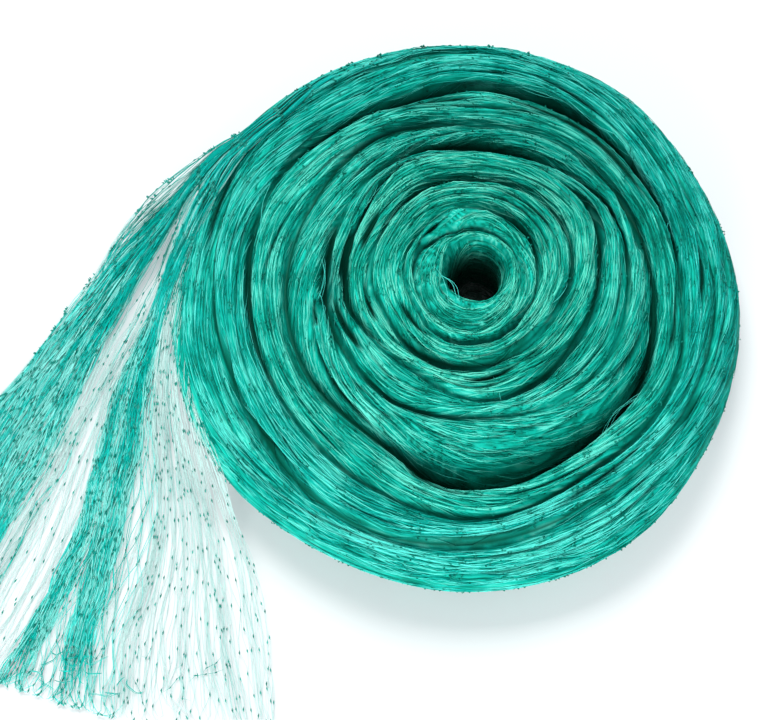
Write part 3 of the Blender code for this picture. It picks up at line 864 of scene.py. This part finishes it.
def roll_skin(x, y):
    """The height of the roll's smooth skin under a point, and how far the point lies outside the roll."""
    angle, radius = np.mod(np.arctan2(y, x), TAU), np.hypot(x, y)
    height = np.zeros(angle.shape)
    for k in (6, 7, 8):
        inner, outer = (round_table(EDGES, np.full(angle.shape, edge), angle) for edge in (k, k + 1))
        share = np.clip((radius - inner) / (outer - inner), 0, 1)
        height = np.where(radius > inner, band_section(np.full(angle.shape, k), share, angle)[1], height)
    return height, radius - outer


def leaves_roll(column):
    """The row at which a column leaves the roll."""
    late = YARNS_BEFORE[LATE_PART]
    return np.where(column < late, FIRST_ROW, np.interp(column, (late, NET_YARNS), LATE_ROWS))


def net_place(column, along, strip):
    """Where a knot column of a strip passes this distance along its yarns, in metres."""
    part = np.clip(np.searchsorted(YARNS_BEFORE, column, side="right") - 1, 0, len(PARTS) - 1)
    within = np.clip((column - YARNS_BEFORE[part]) / PART_YARNS[part], 0, 1)
    loose = eased(along, 40, 120)
    opened = (1 - SINGLE[part]) * np.minimum(5, PART_YARNS[part] / 10) * loose / PART_YARNS[part]
    within = within + opened * (column - strip - STRIP / 2)
    within = np.clip(1 - np.abs(1 - np.abs(within)), 0, 1)
    slid = soft_noise(strip * 7.7 + 3, along / 38) + 0.6 * soft_noise(strip * 3.1, along / 16) - 0.8
    sliding = np.where(SINGLE[part], 0.1, 0.22) + 0.3 * eased(along, FRAYS, CUT)
    within = within + sliding * np.sin(np.pi * within) * slid * loose
    low, high = part_end(part, along), part_end(part + 1, along)
    roped = ROPED[part] * (1 - eased(along, 25, 95))
    turned = TAU * within + 0.03 * (along - 20) * (1 - eased(along, 100, 170))
    layer = 0.65 * soft_noise(strip * 5.3 + 9, along / 60) + 0.35 * soft_noise(column * 0.7, along / 40)
    share = low + (high - low) * (within * (1 - roped) + (0.5 - 0.5 * np.cos(turned)) * roped)
    ragged = np.where(SINGLE[part], 0.4, 1) * RAGGED * loose
    share = share + ragged * (soft_noise(strip * 2.3 + 40, along / 26) - 0.5)
    left_x, left_y, right_x, right_y = (along_table(along, name) for name in ROW_COLUMNS[1:5])
    bow, top, thick = (along_table(along, name) for name in ROW_COLUMNS[5:])
    span_x, span_y = right_x - left_x, right_y - left_y
    middle = np.clip(share, 0, 1)
    bow = 4 * middle * (1 - middle) * bow / np.hypot(span_x, span_y)
    x, y = (left_x + share * span_x + bow * span_y) * MM, (left_y + share * span_y - bow * span_x) * MM
    swing = roped * np.sin(turned) + (1 - roped) * (2 * layer - 1)
    height = (top - thick / 2 * (1 - swing)) * MM
    skin, outside = roll_skin(x, y)
    begins = BAR_MM * leaves_roll(column)
    buried = 1 - eased(along, begins, begins + 45)
    on_skin = skin + (1.6 * layer - 0.5 + 1.2 * roped * np.sin(turned) - 6 * buried) * MM
    hangs = eased(outside, 0.5 * MM, 13 * MM)
    height = on_skin * (1 - hangs) + np.maximum(height, 0.3 * MM) * hangs
    return np.stack([EYE_AXIS[0] + x, EYE_AXIS[1] + y, np.maximum(height, 0.3 * MM)], axis=-1)


def row_along(column, row):
    """How far along the yarns a knot lies: its row, put off a little from column to column."""
    uneven = 9 * (soft_noise(column / 7.0, row / 3.0) - 0.5)
    uneven += 11 * (soft_noise(column / 1.3 + 70, row * 1.0) - 0.5)
    return BAR_MM * row + uneven * eased(BAR_MM * row, -20, 60)


dice = np.random.default_rng(41)
last = LAST_ROW - (dice.random(NET_YARNS) < 0.4)
short = np.repeat(SHORT, PART_YARNS) * (dice.random(NET_YARNS) < 0.6)
last = last - short * dice.integers(2, 5, NET_YARNS)
strip_shift = BAR_MM * dice.random(NET_YARNS)
full, open_part, net_knots_at = [], [], []
for yarn in range(NET_YARNS):
    part = np.searchsorted(YARNS_BEFORE, yarn, side="right") - 1
    single = SINGLE[part]
    wide = SINGLE_STRIP if single else STRIP
    strip = YARNS_BEFORE[part] + (yarn - YARNS_BEFORE[part]) // wide * wide
    first = int(leaves_roll(yarn) + dice.random() * 2)
    rows_here = np.arange(first, last[yarn] + 1)
    columns = yarn + (yarn + rows_here) % 2
    shifted = strip_shift[strip] * eased(BAR_MM * rows_here, 0, 60)
    knots_along = np.minimum(row_along(columns, rows_here) + shifted, LONGEST)
    own = net_place(np.full(len(columns), yarn + 0.5), knots_along, strip)
    met = net_place(columns * 1.0, knots_along, strip)
    reach = np.hypot(*(met - own)[:, :2].T)
    held = own + (met - own) * np.minimum(1, MOST_SWING / np.maximum(reach, 1e-6))[:, None]
    fine = np.linspace(0, len(rows_here) - 1, (len(rows_here) - 1) * POINTS_A_BAR + 1)
    whole = np.arange(len(rows_here))
    here = np.interp(fine, whole, knots_along)
    path = net_place(np.full(len(fine), yarn + 0.5), here, strip)
    path += np.stack([np.interp(fine, whole, (held - own)[:, axis]) for axis in range(3)], axis=1)
    slack = np.sin(np.pi * (fine % 1))
    path[:, 0] += 0.9 * MM * slack * np.sin(3.1 * yarn + 2.0 * np.floor(fine))
    path[:, 2] += 0.5 * MM * slack * np.abs(np.sin(1.7 * yarn + np.floor(fine)))
    path[:, 2] = np.maximum(path[:, 2], 0.25 * MM)
    near = 1 - eased(here, 70, 170)
    fleck = soft_noise(yarn * 1.3, here / 7 + yarn * 0.37) - 0.5
    gathered = soft_noise(yarn / 5, here / 45 + 3)
    patch = soft_noise(yarn / 9 + 5, here / 34 + 0.11 * yarn) - 0.5
    across = (yarn + 0.5 - YARNS_BEFORE[part]) / PART_YARNS[part]
    patch = patch + 0.6 * max(0, 1 - min(across, 1 - across) / 0.25) * eased(here, 80, 140)
    tint = (0.9 if single else 0.5) - 0.5 * near + 0.15 * dice.standard_normal() + 0.8 * fleck + 1.7 * patch
    tint = tint + (0.8 * np.exp(-((here - LIT_AT) / 16) ** 2) if part == LIT_PART else 0)
    # Painted shade near the roll, deepest in patches where the net is gathered; its tone is darker near the
    # roll too.
    net_shade = 0.6 * (1 - eased(here, 50, 110)) * eased(gathered, 0.55, 0.85) + 0.26 * near
    (open_part if single else full).append((path, SINGLE_YARN if single else FULL_YARN, tint, net_shade))
    for i in range(1, len(rows_here) - 1):
        if (columns[i] == yarn + 1 or yarn == strip) and (knots_along[i] > 25 or dice.random() < 0.4):
            before, at, after = path[3 * i - 1], path[3 * i], path[3 * i + 1]
            lie = (after - before) / np.linalg.norm(after - before)
            net_knots_at.append((at + (0, 0, KNOT_RAISED), lie))
SPREAD = ((0.25, 0.75, 0.70), (0.006, 0.59, 0.53), (0.001, 0.41, 0.35), (0.001, 0.07, 0.05))
FAINT = ((0.54, 0.76, 0.74), (0.30, 0.60, 0.57), (0.12, 0.46, 0.42), (0.03, 0.2, 0.17))
net_skin = yarn_material("net_yarn", SPREAD)
faint_skin = yarn_material("faint_yarn", FAINT)
for name, yarns, skin in (("spread_net", full, net_skin), ("open_net", open_part, faint_skin)):
    paths, sizes, tints, shade_and_knot_dark = zip(*yarns)
    piece = threads(name, paths, sizes, skin, tints, shade_and_knot_dark)
    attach(piece, "root")
    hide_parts("loose_end")

# ---- The lower layers of the spread net ----
# More layers of the same netting lie pressed flat under the spread net. In the bundles they are soft beds
# of yarns that lie several as one. Between the bundles only faint pale yarns of them show.
LOWER_LAYERS = {
    "bundle_beds": dict(kind="bed", radius=0.5 * MM, sunk=2.5 * MM, stops=296, tint=0.85),
    "pale_under_yarns": dict(kind="under", radius=0.14 * MM, sunk=0.8 * MM, stops=318, tint=1.2),
}
# Where along the net, in millimetres, the beds of the first parts and of the others begin, and the thin
# layer of the first part and of the others, and how far apart the points of their yarns stand.
BED_STARTS, UNDER_STARTS, UNDER_STEP = (30, 62), (0, 90), 12
for name, plan in LOWER_LAYERS.items():
    bed = plan["kind"] == "bed"
    paths, tints = [], []
    for part, bundle in enumerate(PARTS):
        for column in YARNS_BEFORE[part] + PART_YARNS[part] * dice.random(bundle.get(plan["kind"], 0)):
            if bed:
                begins = BED_STARTS[part > 4] + 20 * dice.random()
            else:
                begins = max(UNDER_STARTS[part > 0] + 60 * dice.random(), BAR_MM * leaves_roll(column))
            here = np.arange(begins, plan["stops"] + 22 * dice.random(), UNDER_STEP)
            path = net_place(np.full(len(here), column), here, column - STRIP / 2)
            path[:, 0] += 3 * MM * (soft_noise(column * 5, here / 22) - 0.5)
            path[:, 2] = np.maximum(path[:, 2] - plan["sunk"], plan["radius"])
            paths.append(path)
            tints.append(plan["tint"] + 0.2 * dice.standard_normal())
    layer = threads(name, paths, plan["radius"], net_skin if bed else faint_skin, tints)
    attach(layer, "root")
    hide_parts("loose_end")

# ---- The knots of the spread net ----
# The same sheet-bend knots, tied by the netting machine, one where two neighbouring yarns of the spread net
# meet. Light reaches them from all round, so their colours are painted paler than the roll's knots.
NET_KNOT_LENGTH, NET_KNOT_RADIUS = 2.6 * MM, 0.52 * MM
# On the free edge near the roll, the folded mesh brings its knots together in small clumps with short
# tails: the points of the edge yarns, a third of a bar apart, where they stand, and the way that the tails
# point.
EDGE_CLUMPS = (6, 8, 11, 13, 15, 18, 20, 23, 25, 28)
EDGE_YARNS, KNOTS_A_CLUMP, TAIL_LENGTH = (1, 4), 11, 2.1 * MM
TAIL_WAY = (-0.7, 0.65, 0.35)
LIT_KNOTS = ((0.045, 0.38, 0.32), (0.012, 0.25, 0.205), (0.004, 0.16, 0.125), (0.001, 0.04, 0.03))
net_knot_skin = yarn_material("net_knot_yarn", LIT_KNOTS)
knot_paths = [at + np.outer((-0.5, 0, 0.5), lie) * NET_KNOT_LENGTH for at, lie in net_knots_at]
edge_dice = np.random.default_rng(83)
for clump in EDGE_CLUMPS:
    for _ in range(KNOTS_A_CLUMP):
        bar = full[edge_dice.integers(*EDGE_YARNS)][0][clump:clump + 2]
        root = bar[0] + 0.5 * edge_dice.random() * (bar[1] - bar[0])
        lie = TAIL_WAY + edge_dice.uniform(-0.9, 0.9, 3)
        knot_paths.append(root + np.outer((-0.15, 0.35, 0.85), lie / np.linalg.norm(lie)) * TAIL_LENGTH)
net_knots = threads("net_knots", knot_paths, NET_KNOT_RADIUS, net_knot_skin, dice.random(len(knot_paths)))
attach(net_knots, "root")
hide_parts("loose_end")

# ---- The tangled cut end ----
# Where the netting was cut, the yarns of one bundle have sprung back into small curls, and a few cut yarns
# lie crooked beside them with their knots still on. All are the same green nylon.
CURLS, CROOKED = 26, 12
CURL_STEP, CROOKED_STEP = 1.7 * MM, 5 * MM
LOOSE_YARN, LOOSE_KNOT = 0.13 * MM, 0.45 * MM
dice = np.random.default_rng(51)
paths, sizes, tints, shade_and_knot_dark = [], [], [], []
for number in range(CURLS + CROOKED):
    curled = number < CURLS
    spot = dice.random()
    if curled:
        column, along = np.interp(spot, (0, 1), YARNS_BEFORE[[9, 13]]), 296 + 22 * dice.random()
    else:
        column, along = np.interp(spot, (0, 1), YARNS_BEFORE[[11, 14]]), 275 + 40 * dice.random()
    at = net_place(np.array([column]), np.array([along]), column - STRIP / 2)[0][:2]
    heading = math.radians(-105) + dice.normal(0, 0.9 if curled else 0.6)
    bend = dice.normal(0, 0.24 if curled else 0)
    count = int(5 + 6 * dice.random()) if curled else int(4 + 2 * dice.random())
    steps = []
    for i in range(count):
        steps.append((*at, (0.5 + (2.6 if curled else 0.8) * abs(math.sin(0.6 * i + spot * 90))) * MM))
        heading += bend + dice.normal(0, 0.22 if curled else 0.5)
        at = at + (CURL_STEP if curled else CROOKED_STEP) * np.array([math.cos(heading), math.sin(heading)])
    for twin in range(3 if curled else 1):
        paths.append(np.array(steps) + 0.5 * MM * twin * (dice.random(3) - (0.5, 0.5, 0)))
        sizes.append(LOOSE_YARN)
        tints.append(-0.1 + 0.4 * dice.random())
        shade_and_knot_dark.append(0)
    for before, here in zip(paths[-1][:-2], paths[-1][1:-1]) if not curled else ():
        lie = (here - before) * 1.1 * MM / np.linalg.norm(here - before)
        paths.append(np.array([here - lie, here, here + lie]) + (0, 0, 0.1 * MM))
        sizes.append(LOOSE_KNOT)
        tints.append(0)
        # Its knots are darkened towards the shadow green, as their own dark colour.
        shade_and_knot_dark.append(0.5)
tangle = threads("cut_end_tangle", paths, sizes, net_skin, tints, shade_and_knot_dark)
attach(tangle, "root")
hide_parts("loose_end")

# ---- The drawn loops ----
# Handling has drawn single yarns out of the turns. They stand as thin arcs over a crease, with both ends
# still held in the roll, and a few hang inside the eye.

# Each row: the turn, share and direction in degrees of both ends, how high the arc stands, how far it leans
# outwards, in millimetres, and how many yarns it has.
LOOPS = (
    ((6, .10, 310), (6, .12, 326), 3.0, -3.5, 3), ((0, .10, 190), (0, .30, 246), 1.0, -3.0, 2),
    ((0, .30, 176), (0, .45, 236), 1.5, -2.0, 1), ((-1, .86, 236), (-1, .90, 306), 0.5, 1.5, 1),
    ((3, .28, 279), (4, .02, 282), 3.0, 1.0, 1), ((5, .10, 169), (5, .12, 187), 5.0, -2.5, 3),
    ((5, .12, 186), (5, .34, 197), 1.5, -2.0, 2), ((6, .22, 122), (6, .20, 128), 3.0, -2.0, 2),
    ((7, .10, 150), (6, .74, 171), 4.0, 1.5, 1), ((4, .80, 40), (4, .92, 56), 2.5, 2.0, 1),
    ((7, .12, 66), (7, .16, 80), 3.0, -2.0, 2), ((5, .86, 258), (5, .84, 270), 3.0, 2.0, 1),
    ((8, .40, 350), (8, .55, 366), 2.0, 1.0, 1), ((7, .20, 228), (7, .12, 240), 3.0, -1.5, 1),
    ((3, .84, 130), (4, .10, 140), 2.0, 0.0, 1), ((8, .95, 96), (8, .97, 108), 1.0, 2.5, 1),
    ((2, .86, 330), (2, .90, 352), 2.5, 1.0, 1), ((6, .86, 14), (7, .10, 20), 2.5, 0.0, 1),
)
LOOP_YARN = 0.12 * MM
dice = np.random.default_rng(61)
paths = []
for start, stop, stand, lean, count in LOOPS:
    for _ in range(count):
        ends = []
        for turn, share, degrees in (start, stop):
            shares, angles = np.array([share + 0.03 * dice.normal()]), np.radians([degrees + dice.normal()])
            ends.append(on_roll(np.array([turn]), shares, angles, np.array([-0.6 * MM]))[0][0])
        t = np.linspace(0, 1, 15)[:, None]
        middle = (ends[0] + ends[1]) / 2 - (*EYE_AXIS, 0)
        outward = np.array([middle[0], middle[1], 0]) / np.hypot(middle[0], middle[1])
        arc = np.sin(np.pi * t ** (1 + 0.3 * dice.normal() * 0.5))
        path = ends[0] * (1 - t) + ends[1] * t + arc * (lean + dice.normal() * 0.5) * MM * outward
        path = path + arc * (0, 0, (stand + 0.6 * dice.normal()) * MM)
        paths.append(path + 0.25 * MM * np.sin(9 * t + dice.random(3) * TAU) * np.sin(np.pi * t))
drawn_loops = threads("drawn_loops", paths, LOOP_YARN, yarn_skin, 0.8)
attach(drawn_loops, "root")
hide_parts("wound_roll")

# ---- Finishing ----
bpy.data.objects.remove(yarn_section)
